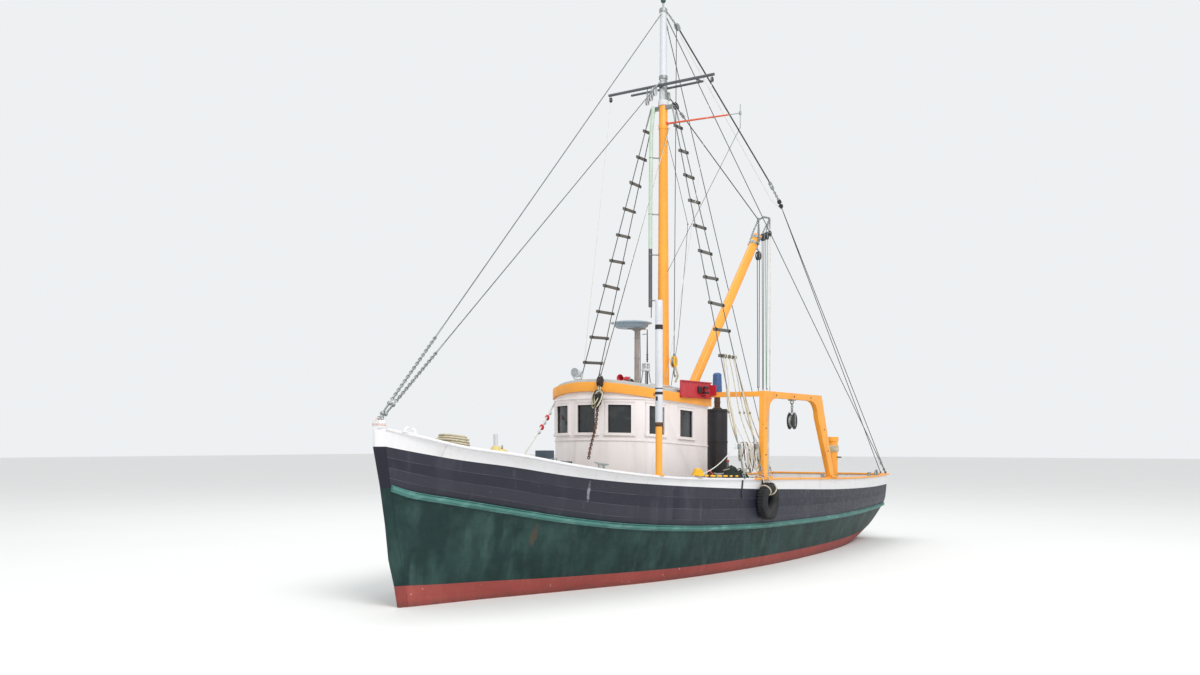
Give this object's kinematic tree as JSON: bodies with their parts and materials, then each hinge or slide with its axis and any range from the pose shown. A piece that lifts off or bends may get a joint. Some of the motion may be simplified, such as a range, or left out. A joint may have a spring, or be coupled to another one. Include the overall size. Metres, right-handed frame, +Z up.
{
  "type": "fishing trawler",
  "caption": "Small wooden fishing trawler with a rounded wheelhouse forward, mast, boom, rail gallows and a trawl winch, afloat.",
  "frame": {"origin": "on the centreline at the waterline, amidships (6.73 m aft of the stem's waterline point)", "axes": "+X towards the bow, +Y to port, +Z up"},
  "size_m": [14.406, 3.9573, 11.436],
  "materials": {
    "white_paint": "weathered white paint on wood",
    "navy_paint": "near-black paint on wood",
    "green_paint": "dark green paint on wood",
    "red_paint": "matt brick-red bottom paint",
    "teal_paint": "teal paint on wood",
    "orange_paint": "worn orange-yellow paint",
    "hatch_paint": "dark blue-grey paint",
    "port_red_paint": "red paint",
    "starboard_green_paint": "green paint",
    "beige_paint": "beige paint",
    "radome_plastic": "weathered grey-blue plastic",
    "horn_red": "red paint",
    "grey_paint": "light grey paint",
    "black_paint": "black paint",
    "rusty_steel": "rusty steel",
    "blue_paint": "faded blue paint",
    "deck_wood": "bare weathered planks",
    "cover_wood": "painted boards",
    "winch_steel": "painted steel with rust",
    "wire": "galvanised wire",
    "bronze": "bronze",
    "tyre_rubber": "worn black rubber",
    "hemp_rope": "weathered laid rope"
  },
  "bodies": {
    "boat": {"hull_bottom": "red_paint", "hull_topsides": "green_paint", "sheer_strakes": "navy_paint", "forecastle": "navy_paint", "keel_and_stem": "red_paint", "guard_port": "teal_paint", "guard_starboard": "teal_paint", "bulwark_port": "navy_paint", "bulwark_starboard": "navy_paint", "bulwark_transom": "navy_paint", "rail_band_port": "white_paint", "rail_band_starboard": "white_paint", "rail_band_transom": "white_paint", "cap_rail_port_aft": "orange_paint", "cap_rail_starboard_aft": "orange_paint", "cap_rail_transom": "orange_paint", "main_deck": "deck_wood", "foredeck": "deck_wood", "rope_coil": "hemp_rope", "wheelhouse_roof": "orange_paint", "wheelhouse_front": "white_paint", "wheelhouse_port": "white_paint", "wheelhouse_starboard": "white_paint", "wheelhouse_aft": "white_paint", "sidelight_board_port": "port_red_paint", "sidelight_board_starboard": "starboard_green_paint", "radar_post": "beige_paint", "radome": "radome_plastic", "searchlight": "white_paint", "horn": "horn_red", "fore_hatch": "hatch_paint", "fore_vent": "hatch_paint", "samson_post": "orange_paint", "mast": "orange_paint", "topmast": "grey_paint", "yard": "grey_paint", "forestay": "wire", "hounds_stay": "wire", "backstay_port": "wire", "backstay_starboard": "wire", "shroud_ladder_port": "wire", "shroud_ladder_starboard": "wire", "exhaust_casing": "black_paint", "exhaust_pipe": "rusty_steel", "stack_cap": "blue_paint", "gallows_port": "orange_paint", "gallows_starboard": "orange_paint", "towing_post_port": "orange_paint", "towing_post_starboard": "orange_paint", "winch_frame": "winch_steel", "hold_hatch": "deck_wood", "tyre_fender": "tyre_rubber"},
    "boom_gear": {"boom": "orange_paint", "topping_lift": "wire"},
    "rudder_blade": {"rudder": "red_paint"},
    "screw": {"propeller": "bronze"},
    "house_door": {"wheelhouse_door": "white_paint"},
    "fore_lid": {"fore_hatch_lid": "hatch_paint"},
    "hold_cover": {"hold_hatch_cover": "cover_wood"},
    "drums": {"winch_drums": "winch_steel"}
  },
  "joints": [
    {"name": "boom_swing", "type": "hinge", "parent": "boat", "child": "boom_gear", "pos_m": [-0.04, 0, 2.2], "axis": [0, 0, 1], "range_deg": [-49, 71]},
    {"name": "rudder_turn", "type": "hinge", "parent": "boat", "child": "rudder_blade", "pos_m": [-6.29, 0, -1], "axis": [0, 0, 1], "range_deg": [-35, 35]},
    {"name": "propeller_spin", "type": "hinge", "parent": "boat", "child": "screw", "pos_m": [-5.88, 0, -1.01], "axis": [1, 0, 0], "continuous": true},
    {"name": "door_swing", "type": "hinge", "parent": "boat", "child": "house_door", "pos_m": [0.2717, -0.828, 1.75], "axis": [0, 0, 1], "range_deg": [0, 110]},
    {"name": "fore_hatch_lift", "type": "hinge", "parent": "boat", "child": "fore_lid", "pos_m": [3.845, 0, 1.804], "axis": [0, 1, 0], "range_deg": [0, 100]},
    {"name": "hold_cover_lift", "type": "hinge", "parent": "boat", "child": "hold_cover", "pos_m": [-3.15, 0, 1.18921], "axis": [0, 1, 0], "range_deg": [0, 100]},
    {"name": "winch_spin", "type": "hinge", "parent": "boat", "child": "drums", "pos_m": [-0.91, 0, 1.33], "axis": [0, 1, 0], "continuous": true}
  ]
}
